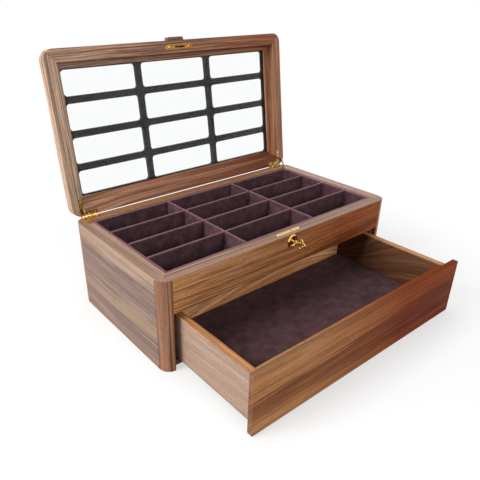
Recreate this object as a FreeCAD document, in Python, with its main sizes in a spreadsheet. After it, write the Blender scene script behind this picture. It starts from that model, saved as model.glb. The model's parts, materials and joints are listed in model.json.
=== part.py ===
import FreeCAD, Part
import math
import os
import Sketcher

# A wooden glasses box: a case with twelve velvet compartments, a glazed lid on two quadrant
# hinges, a box lock with its key, and a lined drawer below. Millimetres, +Z up. The front faces
# -Y, and the origin is the centre of the underside. The lid stands open, the drawer is out.

DRIVING_SIZES = (
    # the case
    ("case_length", 560.0),
    ("case_depth", 300.0),
    ("case_height", 175.0),
    ("corner_round", 20.0),
    ("wall_thick", 23.0),
    ("skin_thick", 11.0),
    ("joint_gap", 0.4),
    ("rim_thick", 1.5),
    ("rim_ease", 1.0),
    ("base_thick", 10.0),
    ("base_tongue", 4.0),
    ("base_tongue_low", 3.0),
    ("groove_deep", 4.0),
    ("groove_gap", 0.2),
    ("deck_low", 106.0),
    ("deck_thick", 6.0),
    ("rail_skin_low", 113.5),
    ("rail_inner_low", 103.0),
    # the velvet insert
    ("insert_floor_thick", 2.0),
    ("insert_drop", 1.2),
    ("lining_thick", 6.5),
    ("lining_gap", 0.5),
    ("divider_thick", 6.0),
    ("row_pitch", 62.5),
    ("column_pitch", 171.4),
    ("halving_gap", 0.2),
    # the wedges that cut the mitres
    ("mitre_over", 5.0),
    ("mitre_reach", 60.0),
    # the drawer, closed
    ("drawer_pull", 185.0),
    ("slab_thick", 10.8),
    ("slab_low", 2.0),
    ("slab_top_gap", 3.0),
    ("slab_side_gap", 2.0),
    ("slab_back_gap", 0.2),
    ("slab_ease", 0.8),
    ("drawer_width", 496.0),
    ("drawer_board", 12.0),
    ("drawer_low", 12.0),
    ("drawer_top", 101.0),
    ("drawer_back_gap", 5.5),
    ("drawer_floor_low", 18.0),
    ("drawer_floor_thick", 6.0),
    ("pad_thick", 4.0),
    ("pad_gap", 0.5),
    ("lipping_thick", 2.0),
    ("runner_wide", 10.5),
    ("runner_inset", 0.5),
    ("runner_gap", 0.2),
    ("guide_gap", 0.5),
    ("guide_top", 40.0),
    ("guide_setback", 29.0),
    # the lid, closed
    ("lid_height", 32.0),
    ("lid_round", 15.5),
    ("lid_opening", 97.7),
    ("hinge_behind", 0.8),
    ("hinge_rise", 0.2),
    ("lip_low", 20.0),
    ("lip_thick", 2.0),
    ("lip_wide", 10.8),
    ("glass_thick", 3.0),
    ("glazing_gap", 0.3),
    ("lattice_thick", 6.8),
    ("lattice_bar", 13.4),
    ("lattice_shows", 2.0),
    ("pane_long", 156.1),
    ("pane_deep", 48.6),
    ("pane_round", 6.5),
    ("tab_half", 19.3),
    ("tab_low", 10.0),
    ("tab_thick", 10.0),
    ("tab_out", 6.5),
    ("tab_in", 8.0),
    ("tab_round", 4.0),
    # the quadrant hinges
    ("leaf_thick", 1.5),
    ("leaf_inset", 14.5),
    ("leaf_side_wide", 8.0),
    ("leaf_side_long", 35.0),
    ("leaf_back_wide", 9.5),
    ("leaf_back_long", 35.5),
    ("leaf_screw_front", 5.5),
    ("leaf_screw_near", 6.0),
    ("leaf_screw_far", 19.0),
    ("leaf_slot_gap", 0.8),
    ("leaf_slot_long", 13.5),
    ("knuckle_radius", 3.0),
    ("knuckle_start", 2.0),
    ("knuckle_long", 11.0),
    ("knuckle_gap", 0.15),
    ("knuckle_relief", 0.4),
    ("pin_radius", 1.25),
    ("running_gap", 0.05),
    ("stay_inset", 3.8),
    ("stay_radius", 17.5),
    ("stay_band", 3.0),
    ("stay_thick", 1.2),
    ("stay_slot", 2.0),
    ("stay_pocket", 4.0),
    ("stay_grip", 8.4),
    ("stay_end", 3.6),
    ("stop_pin_radius", 0.7),
    ("stop_pin_long", 3.0),
    ("pocket_gap", 1.2),
    # the lock
    ("lock_back", 11.8),
    ("plate_half", 29.0),
    ("plate_wide", 8.0),
    ("plate_thick", 1.5),
    ("strike_half", 32.5),
    ("strike_wide", 9.5),
    ("strike_screw_in", 9.0),
    ("key_height", 161.0),
    ("lock_case_half", 23.0),
    ("lock_case_low", 145.2),
    ("lock_case_wide", 7.6),
    ("lock_wall", 0.8),
    ("mortise_gap", 0.2),
    ("bolt_left", 4.0),
    ("bolt_down", 9.0),
    ("bolt_radius", 15.0),
    ("bolt_band", 4.0),
    ("bolt_thick", 1.6),
    ("bolt_hub", 4.0),
    ("bolt_pivot", 1.5),
    ("bolt_behind", 0.6),
    ("bolt_slot_wide", 2.4),
    ("bolt_slot_gap", 0.5),
    ("bolt_catch", 2.2),
    ("bolt_room", 2.4),
    ("escutcheon_radius", 12.5),
    ("escutcheon_proud", 3.0),
    ("escutcheon_edge", 0.8),
    ("escutcheon_crest_in", 2.4),
    ("escutcheon_crest_half", 0.8),
    ("escutcheon_dish_in", 4.4),
    ("escutcheon_dish_deep", 1.9),
    ("key_radius", 2.0),
    ("key_gap", 0.4),
    ("key_bit", 6.0),
    ("key_bit_long", 2.0),
    ("key_bit_thick", 1.6),
    ("key_shank_out", 11.0),
    ("key_collar_long", 2.2),
    ("key_collar_rise", 1.2),
    ("key_neck_half", 1.6),
    ("key_bow_ring", 4.6),
    ("key_bow_hole", 2.3),
    ("key_bow_spread", 5.4),
    ("key_bow_thick", 2.6),
    ("key_bow_out", 16.4),
    # the countersunk holes in leaves and plates
    ("screw_hole", 1.1),
    ("screw_sink", 0.8),
)

LONG_DIVIDERS = (("front", -1), ("middle", 0), ("back", 1))
CROSS_DIVIDERS = (("left", -0.5), ("right", 0.5))
SIDES = (("left", -1), ("right", 1))
BOLT_TAIL_ANGLE = -75.0
BOLT_TIP_ANGLE = 24.0
BOLT_ARM_ANGLE = -55.0
KEY_TURN = 90.0
PLANES = {"plan": "XY_Plane", "front": "XZ_Plane", "side": "YZ_Plane"}

document = FreeCAD.newDocument("glasses_box")
sheet = document.addObject("Spreadsheet::Sheet", "sizes")
for row, (size_name, size_value) in enumerate(DRIVING_SIZES, 1):
    sheet.set(f"A{row}", size_name)
    sheet.set(f"B{row}", str(size_value))
    sheet.setAlias(f"B{row}", size_name)
document.recompute()

sub_parts = []


# Sizes that know the expression they come from

class Size:
    """A length or an angle, with the expression that gives it from the sheet."""

    def __init__(self, value, text):
        self.value = value
        self.text = text

    def __add__(self, other):
        other = sized(other)
        return Size(self.value + other.value, f"({self.text} + {other.text})")

    def __sub__(self, other):
        other = sized(other)
        return Size(self.value - other.value, f"({self.text} - {other.text})")

    def __mul__(self, other):
        other = sized(other)
        return Size(self.value * other.value, f"({self.text} * {other.text})")

    def __truediv__(self, other):
        other = sized(other)
        return Size(self.value / other.value, f"({self.text} / {other.text})")

    def __neg__(self):
        return self * -1

    def __rsub__(self, other):
        return sized(other) - self

    __radd__ = __add__
    __rmul__ = __mul__


def sized(number):
    if isinstance(number, Size):
        return number
    return Size(float(number), f"({float(number)})")


def cosine(angle):
    angle = sized(angle)
    return Size(math.cos(math.radians(angle.value)), f"cos({angle.text} * 1 deg)")


def sine(angle):
    angle = sized(angle)
    return Size(math.sin(math.radians(angle.value)), f"sin({angle.text} * 1 deg)")


def root(area):
    return Size(math.sqrt(area.value), f"sqrt({area.text})")


class Sheet:
    """Gives each size of the sheet by its name."""

    def __getattr__(self, name):
        return Size(float(sheet.get(name)), f"sizes.{name}")


size = Sheet()


# Drawing and building

def circle_centre(sketch_circle):
    x, y, radius = sketch_circle
    return sized(x), sized(y), sized(radius)


def draw_outline(outline, geometry, constraints, bindings):
    """Adds a closed outline. A corner is (x, y), or (x, y, centre, turn) when an arc about
    that centre reaches it, counter-clockwise for a turn of 1."""
    corners = [tuple(outline[-1])] + [tuple(corner) for corner in outline]
    first = len(geometry)
    count = len(outline)
    ends = []
    for start, end in zip(corners, corners[1:]):
        here = FreeCAD.Vector(sized(start[0]).value, sized(start[1]).value, 0)
        there = FreeCAD.Vector(sized(end[0]).value, sized(end[1]).value, 0)
        if len(end) == 2:
            geometry.append(Part.LineSegment(here, there))
            ends.append((1, 2, None))
            continue
        middle = FreeCAD.Vector(sized(end[2][0]).value, sized(end[2][1]).value, 0)
        swept = (here, there) if end[3] > 0 else (there, here)
        angles = [math.atan2(point.y - middle.y, point.x - middle.x) for point in swept]
        ring = Part.Circle(middle, FreeCAD.Vector(0, 0, 1), middle.distanceToPoint(there))
        geometry.append(Part.ArcOfCircle(ring, angles[0], angles[1]))
        chord = there - here
        along_x = abs(chord.y) >= abs(chord.x)
        ends.append((1, 2, (end[2], along_x)) if end[3] > 0 else (2, 1, (end[2], along_x)))

    def bind(kind, edge, point, target):
        target = sized(target)
        bindings.append((len(constraints), target))
        constraints.append(Sketcher.Constraint(kind, -1, 1, edge, point, target.value))

    for index, (corner, (_, stop, arc)) in enumerate(zip(outline, ends)):
        edge = first + index
        following = (index + 1) % count
        constraints.append(
            Sketcher.Constraint("Coincident", edge, stop, first + following, ends[following][0]))
        bind("DistanceX", edge, stop, corner[0])
        bind("DistanceY", edge, stop, corner[1])
        if arc and arc[1]:
            bind("DistanceX", edge, 3, arc[0][0])
        elif arc:
            bind("DistanceY", edge, 3, arc[0][1])


def sketch_at(body, view, level, outlines, circles):
    """Draws outlines and circles (x, y, radius) on a plane: plan at a height, front at a y,
    side at an x."""
    sketch = body.newObject("Sketcher::SketchObject", "sketch")
    plane = next(item for item in body.Origin.OriginFeatures if item.Role == PLANES[view])
    sketch.AttachmentSupport = [(plane, "")]
    sketch.MapMode = "FlatFace"
    facing = -1 if view == "front" else 1
    sketch.setExpression("AttachmentOffset.Base.z", (sized(level) * facing).text)
    geometry = []
    constraints = []
    bindings = []
    for outline in outlines:
        draw_outline(outline, geometry, constraints, bindings)
    for drawn in circles:
        x, y, radius = circle_centre(drawn)
        edge = len(geometry)
        middle = FreeCAD.Vector(x.value, y.value, 0)
        geometry.append(Part.Circle(middle, FreeCAD.Vector(0, 0, 1), radius.value))
        for kind, target in (("DistanceX", x), ("DistanceY", y)):
            bindings.append((len(constraints), target))
            constraints.append(Sketcher.Constraint(kind, -1, 1, edge, 3, target.value))
        bindings.append((len(constraints), radius))
        constraints.append(Sketcher.Constraint("Radius", edge, radius.value))
    sketch.addGeometry(geometry, False)
    sketch.addConstraint(constraints)
    for index, target in bindings:
        if "sizes." in target.text:
            sketch.setExpression(f"Constraints[{index}]", target.text)
    return sketch


def new_body(label, kept=True):
    body = document.addObject("PartDesign::Body", label)
    body.Label = label
    if kept:
        sub_parts.append(body)
    return body


def add(body, view, low, high, outlines=(), circles=()):
    """Pads the drawing from one level of its view's axis to a higher one."""
    pad = body.newObject("PartDesign::Pad", "pad")
    pad.Profile = sketch_at(body, view, high if view == "front" else low, outlines, circles)
    pad.setExpression("Length", (sized(high) - low).text)
    return pad


def cut(body, view, low, high, outlines=(), circles=()):
    """Pockets the drawing between two levels of its view's axis."""
    pocket = body.newObject("PartDesign::Pocket", "pocket")
    pocket.Profile = sketch_at(body, view, low if view == "front" else high, outlines, circles)
    pocket.setExpression("Length", (sized(high) - low).text)
    return pocket


def dress(body, kind, amount_name, amount, chosen):
    """Rounds or chamfers the edges of the body so far that the test chooses."""
    document.recompute()
    base = body.Tip
    names = [f"Edge{count}" for count, edge in enumerate(base.Shape.Edges, 1) if chosen(edge)]
    if not names:
        raise RuntimeError(f"{body.Label}: no edge to dress")
    feature = body.newObject(f"PartDesign::{kind}", kind.lower())
    feature.Base = (base, names)
    feature.setExpression(amount_name, amount.text)
    return feature


def level_edge(edge, height, tolerance=1e-4):
    box = edge.BoundBox
    return abs(box.ZMin - height) < tolerance and abs(box.ZMax - height) < tolerance


def rectangle(left, right, near, far):
    return [(left, near), (right, near), (right, far), (left, far)]


def rounded_rectangle(left, right, near, far, radius):
    return [
        (left + radius, near, (left + radius, near + radius), 1),
        (right - radius, near),
        (right, near + radius, (right - radius, near + radius), 1),
        (right, far - radius),
        (right - radius, far, (right - radius, far - radius), 1),
        (left + radius, far),
        (left, far - radius, (left + radius, far - radius), 1),
        (left, near + radius),
    ]


def stadium(left, right, middle, half):
    """A slot along the first axis with round ends."""
    return [
        (left + half, middle - half, (left + half, middle), 1),
        (right - half, middle - half),
        (right - half, middle + half, (right - half, middle), 1),
        (left + half, middle + half),
    ]


def sector(inner, outer, start, stop):
    """A piece of a ring about the origin between two angles, drawn counter-clockwise."""
    centre = (sized(0), sized(0))
    return [
        (outer * cosine(start), outer * sine(start)),
        (outer * cosine(stop), outer * sine(stop), centre, 1),
        (inner * cosine(stop), inner * sine(stop)),
        (inner * cosine(start), inner * sine(start), centre, -1),
    ]


def board(label, left, right, near, far, low, high):
    body = new_body(label)
    add(body, "plan", low, high, [rectangle(left, right, near, far)])
    return body


def mirrored_across_middle(body, feature):
    """Repeats a feature on the other side of the box's middle plane."""
    mirror = body.newObject("PartDesign::Mirrored", "mirrored")
    mirror.Originals = [feature]
    plane = next(item for item in body.Origin.OriginFeatures if item.Role == "YZ_Plane")
    mirror.MirrorPlane = (plane, [""])
    body.Tip = mirror
    return mirror


# Shared places

half_length = size.case_length / 2
half_depth = size.case_depth / 2
inner_half_length = half_length - size.wall_thick
inner_half_depth = half_depth - size.wall_thick
joint_x = half_length - size.corner_round
joint_y = half_depth - size.corner_round
rim_low = size.case_height - size.rim_thick
deck_top = size.deck_low + size.deck_thick
insert_low = deck_top + size.insert_floor_thick
insert_top = size.case_height - size.insert_drop

hinge_y = half_depth + size.hinge_behind
hinge_z = size.case_height + size.hinge_rise
leaf_outer = half_length - size.leaf_inset
leaf_inner = leaf_outer - size.leaf_back_long
stay_x = leaf_outer - size.stay_inset
leaf_reach = size.hinge_behind - size.knuckle_radius - size.knuckle_relief
knuckle_x = leaf_inner + size.knuckle_start
knuckle_end = knuckle_x + size.knuckle_long * 3

lock_y = -half_depth + size.lock_back
bolt_y = lock_y + size.bolt_behind
bolt_x = -size.bolt_left
bolt_z = size.case_height - size.bolt_down
bolt_inner = size.bolt_radius - size.bolt_band / 2
bolt_outer = size.bolt_radius + size.bolt_band / 2
plate_screw_x = (size.plate_half + size.lock_case_half) / 2
strike_screw_x = size.strike_half - size.strike_screw_in
bolt_tip_x = bolt_x + bolt_outer * cosine(BOLT_TIP_ANGLE + KEY_TURN)
slot_left = (bolt_x + root(bolt_inner * bolt_inner - size.bolt_down * size.bolt_down)
             - size.bolt_slot_gap)
slot_right = bolt_x + bolt_outer


def leaf_screws(side):
    """The three screws of one hinge leaf, as (x, y)."""
    back_y = half_depth - size.leaf_back_wide / 2
    return [
        (side * (leaf_outer - size.leaf_side_wide / 2), half_depth - size.leaf_side_long
         + size.leaf_screw_front),
        (side * (leaf_inner + size.leaf_screw_near), back_y),
        (side * (leaf_inner + size.leaf_screw_far), back_y),
    ]


def leaf_outline(side, reach):
    """The leaf's L seen from above, from the case's back face out by a reach."""
    side_inner = leaf_outer - size.leaf_side_wide
    back_front = half_depth - size.leaf_back_wide
    outline = [
        (leaf_inner, back_front),
        (side_inner, back_front),
        (side_inner, half_depth - size.leaf_side_long),
        (leaf_outer, half_depth - size.leaf_side_long),
        (leaf_outer, half_depth + reach),
        (leaf_inner, half_depth + reach),
    ]
    return [(side * x, y) for x, y in outline]


# The case

def make_post(name, side, end):
    """A corner post: the box's rounded corner outside, rebated for the panels' skins."""
    def at(along, deep):
        return side * (half_length - along), end * (half_depth - deep)

    corner = size.corner_round
    skin = size.skin_thick
    wall = size.wall_thick
    outline = [
        at(0, corner),
        at(corner, 0) + (at(corner, corner), side * end),
        at(corner, skin),
        at(wall, skin),
        at(wall, wall),
        at(skin, wall),
        at(skin, corner),
    ]
    body = new_body(name)
    add(body, "plan", 0, rim_low, [outline])
    if end > 0:
        cut_stay_pocket(body, side, rim_low, -1)
        cut_knuckle_bed(body, side, (hinge_y, hinge_z))
    return body


def cut_knuckle_bed(body, side, axis):
    """The shallow hollow in the wood's back edge that clears the hinge's knuckles."""
    ends = sorted((side * knuckle_x, side * knuckle_end), key=lambda edge: edge.value)
    cut(body, "side", ends[0], ends[1], (),
        [(axis[0], axis[1], size.knuckle_radius + size.knuckle_relief)])


def cut_stay_pocket(body, side, mouth, downward):
    """The slot in the wood that a hinge stay slides into, below the case's leaf or above the
    lid's, in the coordinates of the case or of the hinge axis."""
    outer = size.stay_radius + size.stay_band / 2
    deepest = outer * sine(size.lid_opening / 2 + size.stay_grip + size.stay_end)
    nearest = hinge_y if downward < 0 else sized(0)
    y_front = nearest - outer - size.pocket_gap
    y_back = nearest - (size.stay_radius - size.stay_band / 2) * cosine(
        size.lid_opening / 2 + size.stay_grip + size.stay_end) + size.pocket_gap
    x_low = side * stay_x - size.stay_pocket / 2
    x_high = side * stay_x + size.stay_pocket / 2
    shape = [rectangle(x_low, x_high, y_front, y_back)]
    if downward < 0:
        cut(body, "plan", hinge_z - deepest - size.pocket_gap, mouth, shape)
    else:
        cut(body, "plan", mouth, deepest + size.pocket_gap, shape)


def make_side_panel(name, side):
    """A side panel: a show skin between the posts and an inner layer lapped behind them."""
    skin_y = joint_y - size.joint_gap
    skin_x = half_length - size.skin_thick
    outline = [
        (half_length, -skin_y),
        (half_length, skin_y),
        (skin_x, skin_y),
        (skin_x, inner_half_depth),
        (inner_half_length, inner_half_depth),
        (inner_half_length, -inner_half_depth),
        (skin_x, -inner_half_depth),
        (skin_x, -skin_y),
    ]
    body = new_body(name)
    add(body, "plan", 0, rim_low, [[(side * x, y) for x, y in outline]])
    groove_x = inner_half_length + size.groove_deep + size.groove_gap
    groove = [rectangle(side * inner_half_length, side * groove_x,
                        -inner_half_depth, inner_half_depth)]
    cut(body, "plan", size.deck_low, deck_top, groove)
    cut(body, "plan", size.base_tongue_low, size.base_tongue_low + size.base_tongue, groove)


def make_back_panel():
    skin_x = joint_x - size.joint_gap
    skin_y = half_depth - size.skin_thick
    outline = [
        (-skin_x, half_depth),
        (-skin_x, skin_y),
        (-inner_half_length, skin_y),
        (-inner_half_length, inner_half_depth),
        (inner_half_length, inner_half_depth),
        (inner_half_length, skin_y),
        (skin_x, skin_y),
        (skin_x, half_depth),
    ]
    body = new_body("panel_back")
    add(body, "plan", 0, rim_low, [outline])
    groove_y = inner_half_depth + size.groove_deep + size.groove_gap
    groove = [rectangle(-inner_half_length, inner_half_length, inner_half_depth, groove_y)]
    cut(body, "plan", size.deck_low, deck_top, groove)
    cut(body, "plan", size.base_tongue_low, size.base_tongue_low + size.base_tongue, groove)
    for side in (-1, 1):
        cut_knuckle_bed(body, side, (hinge_y, hinge_z))


def make_front_rail():
    """The rail above the drawer, with the lock's mortise and the keyhole."""
    body = new_body("rail_front")
    skin_x = joint_x - size.joint_gap
    skin_y = -half_depth + size.skin_thick
    add(body, "plan", size.rail_skin_low, rim_low,
        [rectangle(-skin_x, skin_x, -half_depth, skin_y)])
    add(body, "plan", size.rail_inner_low, rim_low,
        [rectangle(-inner_half_length, inner_half_length, skin_y, -inner_half_depth)])
    groove_y = -inner_half_depth - size.groove_deep - size.groove_gap
    cut(body, "plan", size.deck_low, deck_top,
        [rectangle(-inner_half_length, inner_half_length, groove_y, -inner_half_depth)])
    mortise_x = size.lock_case_half + size.mortise_gap
    mortise_y = size.lock_case_wide / 2 + size.mortise_gap
    cut(body, "plan", size.lock_case_low - size.mortise_gap, rim_low,
        [rectangle(-mortise_x, mortise_x, lock_y - mortise_y, lock_y + mortise_y)])
    cut(body, "front", -half_depth, lock_y, (),
        [(0, size.key_height, size.key_bit + size.key_gap)])


def make_base_panel():
    """The bottom panel, tongued into the sides and the back behind the drawer front."""
    body = new_body("base_panel")
    front = -half_depth + size.skin_thick
    add(body, "plan", 0, size.base_thick,
        [rectangle(-inner_half_length, inner_half_length, front, inner_half_depth)])
    tongue_x = inner_half_length + size.groove_deep
    tongue_y = inner_half_depth + size.groove_deep
    edge_x = inner_half_length - size.groove_gap
    edge_y = inner_half_depth - size.groove_gap
    low = size.base_tongue_low
    add(body, "plan", low, low + size.base_tongue, [[
        (-tongue_x, -edge_y),
        (tongue_x, -edge_y),
        (tongue_x, edge_y),
        (edge_x, edge_y),
        (edge_x, tongue_y),
        (-edge_x, tongue_y),
        (-edge_x, edge_y),
        (-tongue_x, edge_y),
    ]])


def make_deck_panel():
    """The deck between the compartments and the drawer, notched round the posts."""
    body = new_body("deck_panel")
    tongue_x = inner_half_length + size.groove_deep
    tongue_y = inner_half_depth + size.groove_deep
    edge_x = inner_half_length - size.groove_gap
    edge_y = inner_half_depth - size.groove_gap
    add(body, "plan", size.deck_low, deck_top, [[
        (-edge_x, -tongue_y),
        (edge_x, -tongue_y),
        (edge_x, -edge_y),
        (tongue_x, -edge_y),
        (tongue_x, edge_y),
        (edge_x, edge_y),
        (edge_x, tongue_y),
        (-edge_x, tongue_y),
        (-edge_x, edge_y),
        (-tongue_x, edge_y),
        (-tongue_x, -edge_y),
        (-edge_x, -edge_y),
    ]])


def make_runners_and_guides():
    """Felt runners under the drawer's sides and wooden guides beside them."""
    drawer_half = size.drawer_width / 2
    runner_low = size.base_thick
    runner_top = size.drawer_low - size.runner_gap
    inset = size.runner_inset
    front = -half_depth + size.skin_thick + inset
    runners = new_body("runner_strips")
    guides = new_body("guide_strips")
    for side in (-1, 1):
        add(runners, "plan", runner_low, runner_top,
            [rectangle(side * (drawer_half - inset - size.runner_wide),
                       side * (drawer_half - inset), front, inner_half_depth - inset)])
        add(guides, "plan", size.base_thick, size.guide_top,
            [rectangle(side * (drawer_half + size.guide_gap), side * inner_half_length,
                       -half_depth + size.guide_setback, inner_half_depth)])


def mitre_wedges(near, far, half, top, bottom):
    """Four wedges that share a frame's corners at forty-five degrees."""
    over = size.mitre_over
    reach = size.mitre_reach
    outer_near = near - over
    outer_far = far + over
    outer_half = half + over
    inner_near = near + reach
    inner_far = far - reach
    inner_half = half - reach
    shapes = {
        "front": [(-outer_half, outer_near), (outer_half, outer_near),
                  (inner_half, inner_near), (-inner_half, inner_near)],
        "back": [(outer_half, outer_far), (-outer_half, outer_far),
                 (-inner_half, inner_far), (inner_half, inner_far)],
        "left": [(-outer_half, outer_far), (-outer_half, outer_near),
                 (-inner_half, inner_near), (-inner_half, inner_far)],
        "right": [(outer_half, outer_near), (outer_half, outer_far),
                  (inner_half, inner_far), (inner_half, inner_near)],
    }
    for name, outline in shapes.items():
        wedge = new_body(f"wedge_{name}", kept=False)
        add(wedge, "plan", bottom, top, [outline])
        yield name, wedge


def cut_in_mitres(form, prefix, near, far, half, bottom, top):
    """Cuts a whole frame into its four mitred lengths."""
    lengths = []
    over = size.mitre_over
    for name, wedge in mitre_wedges(near, far, half, top + over, bottom - over):
        length = document.addObject("Part::Common", f"{prefix}_{name}")
        length.Label = f"{prefix}_{name}"
        length.Base = form
        length.Tool = wedge
        sub_parts.append(length)
        lengths.append(length)
    return lengths


def outer_edge(height, middle):
    """A test for a frame's outer edges at one height, on a frame centred on y = middle."""
    half_x = (inner_half_length.value + half_length.value) / 2
    half_y = (inner_half_depth.value + half_depth.value) / 2

    def chosen(edge):
        box = edge.BoundBox
        beyond_x = max(abs(box.XMin), abs(box.XMax)) > half_x
        beyond_y = max(abs(box.YMin - middle.value), abs(box.YMax - middle.value)) > half_y
        return level_edge(edge, height.value) and (beyond_x or beyond_y)

    return chosen


def make_rim():
    """The mitred strips that face the rim, let in round the hinge leaves and the lock plate."""
    form = new_body("rim_form", kept=False)
    add(form, "plan", rim_low, size.case_height, [
        rounded_rectangle(-half_length, half_length, -half_depth, half_depth, size.corner_round),
        rectangle(-inner_half_length, inner_half_length, -inner_half_depth, inner_half_depth),
    ])
    dress(form, "Fillet", "Radius", size.rim_ease, outer_edge(size.case_height, sized(0)))
    for side in (-1, 1):
        cut(form, "plan", rim_low, size.case_height, [leaf_outline(side, sized(1))])
    cut(form, "plan", rim_low, size.case_height,
        [stadium(-size.plate_half, size.plate_half, lock_y, size.plate_wide / 2)])
    cut_in_mitres(form, "rim", -half_depth, half_depth, half_length, rim_low, size.case_height)


def make_case():
    make_post("post_front_left", -1, -1)
    make_post("post_front_right", 1, -1)
    make_post("post_back_left", -1, 1)
    make_post("post_back_right", 1, 1)
    for name, side in SIDES:
        make_side_panel(f"panel_{name}", side)
    make_back_panel()
    make_front_rail()
    make_base_panel()
    make_deck_panel()
    make_runners_and_guides()
    make_rim()


# The velvet insert

def make_insert():
    gap = size.lining_gap
    outer_x = inner_half_length - gap
    outer_y = inner_half_depth - gap
    inner_x = outer_x - size.lining_thick
    inner_y = outer_y - size.lining_thick
    board("insert_floor", -outer_x, outer_x, -outer_y, outer_y, deck_top, insert_low)
    board("lining_front", -outer_x, outer_x, -outer_y, -inner_y, insert_low, insert_top)
    board("lining_back", -outer_x, outer_x, inner_y, outer_y, insert_low, insert_top)
    board("lining_left", -outer_x, -inner_x, -inner_y, inner_y, insert_low, insert_top)
    board("lining_right", inner_x, outer_x, -inner_y, inner_y, insert_low, insert_top)
    half = size.divider_thick / 2
    notch = half + size.halving_gap / 2
    halving = (insert_low + insert_top) / 2
    for name, place in LONG_DIVIDERS:
        middle = size.row_pitch * place
        divider = board(f"divider_long_{name}", -inner_x, inner_x, middle - half, middle + half,
                        insert_low, insert_top)
        for _, across in CROSS_DIVIDERS:
            centre = size.column_pitch * across
            cut(divider, "plan", halving, insert_top,
                [rectangle(centre - notch, centre + notch, middle - half, middle + half)])
    for name, across in CROSS_DIVIDERS:
        centre = size.column_pitch * across
        divider = board(f"divider_cross_{name}", centre - half, centre + half, -inner_y, inner_y,
                        insert_low, insert_top)
        for _, place in LONG_DIVIDERS:
            middle = size.row_pitch * place
            cut(divider, "plan", insert_low, halving,
                [rectangle(centre - half, centre + half, middle - notch, middle + notch)])


# The lock and its key

def round_mouth(height, radius):
    """A test for the circular edges of one radius at one height."""
    def chosen(edge):
        is_round = hasattr(edge.Curve, "Radius") and abs(edge.Curve.Radius - radius.value) < 1e-4
        return is_round and level_edge(edge, height.value)

    return chosen


def sink_holes(body, places, top, low, upward=False):
    """Clearance holes with countersinks through a plate."""
    cut(body, "plan", low, top, (), [(x, y, size.screw_hole) for x, y in places])
    mouth = low if upward else top
    dress(body, "Chamfer", "Size", size.screw_sink, round_mouth(mouth, size.screw_hole))


def make_lock_plate():
    body = new_body("lock_plate")
    places = [(side * plate_screw_x, lock_y) for side in (-1, 1)]
    add(body, "plan", rim_low, size.case_height,
        [stadium(-size.plate_half, size.plate_half, lock_y, size.plate_wide / 2)])
    cut(body, "plan", rim_low, size.case_height,
        [stadium(slot_left, slot_right, bolt_y, size.bolt_slot_wide / 2)])
    sink_holes(body, places, size.case_height, rim_low)


def make_lock_case():
    """The lock's case under the plate: a tray open to the back, with the bolt's pivot."""
    body = new_body("lock_case")
    half_wide = size.lock_case_wide / 2
    front = lock_y - half_wide
    back = lock_y + half_wide
    wall = size.lock_wall
    add(body, "plan", size.lock_case_low, rim_low,
        [rectangle(-size.lock_case_half, size.lock_case_half, front, back)])
    cut(body, "front", front + wall, back, [rectangle(
        -size.lock_case_half + wall, size.lock_case_half - wall,
        size.lock_case_low + wall, rim_low - wall)])
    add(body, "front", front + wall / 2, back, (), [(bolt_x, bolt_z, size.bolt_pivot)])
    cut(body, "plan", rim_low - wall, rim_low,
        [stadium(slot_left, slot_right, bolt_y, size.bolt_slot_wide / 2)])
    cut_keyhole(body, front, front + wall, size.key_radius + size.running_gap)


def cut_keyhole(body, front, back, radius):
    """A round hole for the shank over a slot for the bit."""
    slot = size.key_bit_thick / 2 + size.key_gap
    low = size.key_height - size.key_bit - size.key_gap
    cut(body, "front", front, back, (), [(0, size.key_height, radius)])
    cut(body, "front", front, back,
        [rectangle(-slot, slot, low, size.key_height - radius / 2)])


def make_lock_bolt():
    """The hooked bolt: a ring sector that swings about its pivot through both slots."""
    body = new_body("lock_bolt")
    half = size.bolt_thick / 2
    add(body, "front", -half, half, [sector(bolt_inner, bolt_outer, BOLT_TAIL_ANGLE, BOLT_TIP_ANGLE)])
    arm_start = size.bolt_hub / 2
    add(body, "front", -half, half,
        [sector(arm_start, size.bolt_radius, BOLT_TAIL_ANGLE, BOLT_ARM_ANGLE)])
    add(body, "front", -half, half, (), [(0, 0, size.bolt_hub)])
    cut(body, "front", -half, half, (), [(0, 0, size.bolt_pivot + size.running_gap)])
    body.setExpression("Placement.Base.x", bolt_x.text)
    body.setExpression("Placement.Base.y", bolt_y.text)
    body.setExpression("Placement.Base.z", bolt_z.text)


def revolve(body, outline):
    """Turns a profile of (radius, y) about an axis along Y through the sketch's origin."""
    feature = body.newObject("PartDesign::Revolution", "revolution")
    sketch = sketch_at(body, "plan", 0, [outline], ())
    feature.Profile = sketch
    feature.ReferenceAxis = (sketch, ["V_Axis"])
    feature.Angle = 360


def make_escutcheon():
    """A turned ring with a dished face."""
    body = new_body("escutcheon")
    proud = size.escutcheon_proud
    radius = size.escutcheon_radius
    crest = radius - size.escutcheon_crest_in
    crest_half = size.escutcheon_crest_half
    floor = -proud + size.escutcheon_dish_deep
    revolve(body, [
        (0, floor),
        (radius - size.escutcheon_dish_in, floor),
        (crest - crest_half, -proud),
        (crest + crest_half, -proud),
        (radius, -size.escutcheon_edge),
        (radius, 0),
        (0, 0),
    ])
    hole = size.key_radius + size.key_gap
    slot = size.key_bit_thick / 2 + size.key_gap
    cut(body, "front", floor, 0, (), [(0, 0, hole)])
    cut(body, "front", floor, 0,
        [rectangle(-slot, slot, -size.key_bit - size.key_gap, -hole / 2)])
    body.setExpression("Placement.Base.y", (-half_depth).text)
    body.setExpression("Placement.Base.z", size.key_height.text)


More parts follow.
